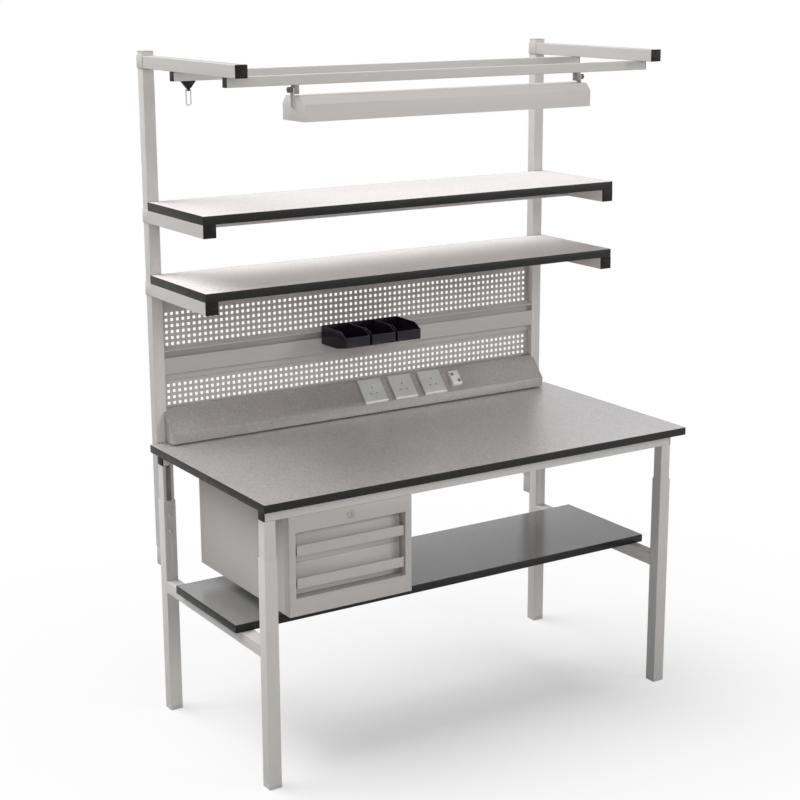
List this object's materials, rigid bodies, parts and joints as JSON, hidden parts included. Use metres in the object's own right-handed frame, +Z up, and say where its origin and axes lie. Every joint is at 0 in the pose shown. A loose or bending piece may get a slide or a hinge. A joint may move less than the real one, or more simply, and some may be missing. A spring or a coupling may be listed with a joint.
{
  "type": "lab bench with reagent shelf",
  "caption": "Height-adjustable laboratory bench with reagent shelves on two uprights, perforated panels, socket trunking, small bins, a drawer unit, a lower shelf and a tilting lamp.",
  "frame": {"origin": "on the floor, at the middle of the overall footprint", "axes": "+Z up, +X to the right of someone working at the bench, -Y towards them"},
  "size_m": [1.5, 0.7826, 2.037],
  "materials": {
    "frame_coat": "light warm grey powder coat, fine texture",
    "panel_coat": "light grey powder coat",
    "trunking_coat": "grey powder coat with a fine speckle",
    "cabinet_coat": "mid grey powder coat",
    "lamp_coat": "satin light grey",
    "speckled_laminate": "board faced with grey finely speckled laminate",
    "grey_laminate": "board faced with smooth grey laminate",
    "white_laminate": "board faced with off-white laminate",
    "black_edging": "black edging strip, satin",
    "black_plastic": "moulded black plastic",
    "grey_plastic": "moulded grey plastic",
    "bin_plastic": "black moulded polypropylene",
    "socket_plastic": "pale grey moulded plastic",
    "module_plastic": "off-white moulded plastic",
    "lamp_end_plastic": "grey moulded plastic",
    "diffuser": "opal, translucent",
    "lamp_glass": "white coated glass",
    "zinc": "bright zinc plate",
    "chrome": "polished plate"
  },
  "bodies": {
    "base": {"outer_leg_front_left": "frame_coat", "outer_leg_front_right": "frame_coat", "outer_leg_rear_left": "frame_coat", "outer_leg_rear_right": "frame_coat", "leg_feet": "grey_plastic", "leg_clamp_bolts": "zinc", "lower_crossbars": "frame_coat", "lower_shelf_board": "grey_laminate", "lower_shelf_edging": "black_edging", "lower_shelf_screws": "zinc"},
    "top": {"inner_legs": "frame_coat", "front_rail": "frame_coat", "rear_rail": "frame_coat", "rail_end_caps": "black_plastic", "worktop_board": "speckled_laminate", "worktop_edging": "black_edging", "worktop_screws": "zinc", "upright_left": "frame_coat", "upright_right": "frame_coat", "upright_end_plugs": "grey_plastic", "upright_bolts": "zinc", "perforated_panel_upper": "panel_coat", "perforated_panel_lower": "panel_coat", "bin_rail": "panel_coat", "trunking_cover": "trunking_coat", "trunking_body": "trunking_coat", "socket_plates": "socket_plastic", "data_module": "module_plastic", "cabinet_shell": "cabinet_coat", "cabinet_front_frame": "cabinet_coat", "cabinet_hangers": "frame_coat", "drawer_runners": "zinc"},
    "drawer_upper": {"drawer_upper_front": "cabinet_coat", "drawer_upper_box": "cabinet_coat"},
    "drawer_lower": {"drawer_lower_front": "cabinet_coat", "drawer_lower_box": "cabinet_coat"},
    "lock": {"lock_barrel": "chrome"},
    "bin_a": {"bin_1": "bin_plastic"},
    "bin_b": {"bin_2": "bin_plastic"},
    "bin_c": {"bin_3": "bin_plastic"},
    "shelf_upper": {"shelf_upper_frame": "frame_coat", "shelf_upper_end_plugs": "black_plastic", "shelf_upper_board": "white_laminate", "shelf_upper_edging": "black_edging"},
    "shelf_lower": {"shelf_lower_frame": "frame_coat", "shelf_lower_end_plugs": "black_plastic", "shelf_lower_board": "white_laminate", "shelf_lower_edging": "black_edging"},
    "lamp_frame": {"lamp_arms": "frame_coat", "lamp_arm_end_plugs": "black_plastic", "lamp_rails": "frame_coat"},
    "lamp_carriage": {"lamp_carriers": "black_plastic"},
    "lamp": {"lamp_housing": "lamp_coat", "lamp_end_caps": "lamp_end_plastic", "lamp_diffuser": "diffuser", "lamp_tubes": "lamp_glass"},
    "knob_left": {"lamp_knob_left": "black_plastic"},
    "knob_right": {"lamp_knob_right": "black_plastic"},
    "trolley": {"hook_trolley": "black_plastic"},
    "hook": {"hook_loop": "chrome"}
  },
  "joints": [
    {"name": "height_adjust", "type": "slide", "parent": "base", "child": "top", "axis": [0, 0, 1], "range_m": [-0.04, 0.18]},
    {"name": "drawer_upper_slide", "type": "slide", "parent": "top", "child": "drawer_upper", "axis": [0, -1, 0], "range_m": [0, 0.35]},
    {"name": "drawer_lower_slide", "type": "slide", "parent": "top", "child": "drawer_lower", "axis": [0, -1, 0], "range_m": [0, 0.35]},
    {"name": "lock_turn", "type": "hinge", "parent": "top", "child": "lock", "pos_m": [-0.45, -0.34605, 0.7745], "axis": [0, 1, 0], "range_deg": [0, 90]},
    {"name": "bin_a_lift", "type": "slide", "parent": "top", "child": "bin_a", "axis": [0, 0, 1], "range_m": [0, 0.01]},
    {"name": "bin_b_lift", "type": "slide", "parent": "top", "child": "bin_b", "axis": [0, 0, 1], "range_m": [0, 0.01]},
    {"name": "bin_c_lift", "type": "slide", "parent": "top", "child": "bin_c", "axis": [0, 0, 1], "range_m": [0, 0.01]},
    {"name": "shelf_upper_height", "type": "slide", "parent": "top", "child": "shelf_upper", "axis": [0, 0, 1], "range_m": [-0.05, 0.1]},
    {"name": "shelf_lower_height", "type": "slide", "parent": "top", "child": "shelf_lower", "axis": [0, 0, 1], "range_m": [-0.015, 0.05]},
    {"name": "lamp_frame_height", "type": "slide", "parent": "top", "child": "lamp_frame", "axis": [0, 0, 1], "range_m": [-0.15, 0.008]},
    {"name": "lamp_slide", "type": "slide", "parent": "lamp_frame", "child": "lamp_carriage", "axis": [1, 0, 0], "range_m": [-0.15, 0.19]},
    {"name": "lamp_tilt", "type": "hinge", "parent": "lamp_carriage", "child": "lamp", "pos_m": [-0.023, -0.1668, 1.9475], "axis": [1, 0, 0], "range_deg": [-30, 30]},
    {"name": "knob_left_turn", "type": "hinge", "parent": "lamp_carriage", "child": "knob_left", "pos_m": [-0.524, -0.1668, 1.9475], "axis": [1, 0, 0], "range_deg": [-90, 90]},
    {"name": "knob_right_turn", "type": "hinge", "parent": "lamp_carriage", "child": "knob_right", "pos_m": [0.478, -0.1668, 1.9475], "axis": [1, 0, 0], "range_deg": [-90, 90]},
    {"name": "trolley_slide", "type": "slide", "parent": "lamp_frame", "child": "trolley", "axis": [1, 0, 0], "range_m": [-0.02, 1.36]},
    {"name": "hook_swing", "type": "hinge", "parent": "trolley", "child": "hook", "pos_m": [-0.671, 0.1602, 1.9362], "axis": [1, 0, 0], "range_deg": [-70, 70]}
  ]
}
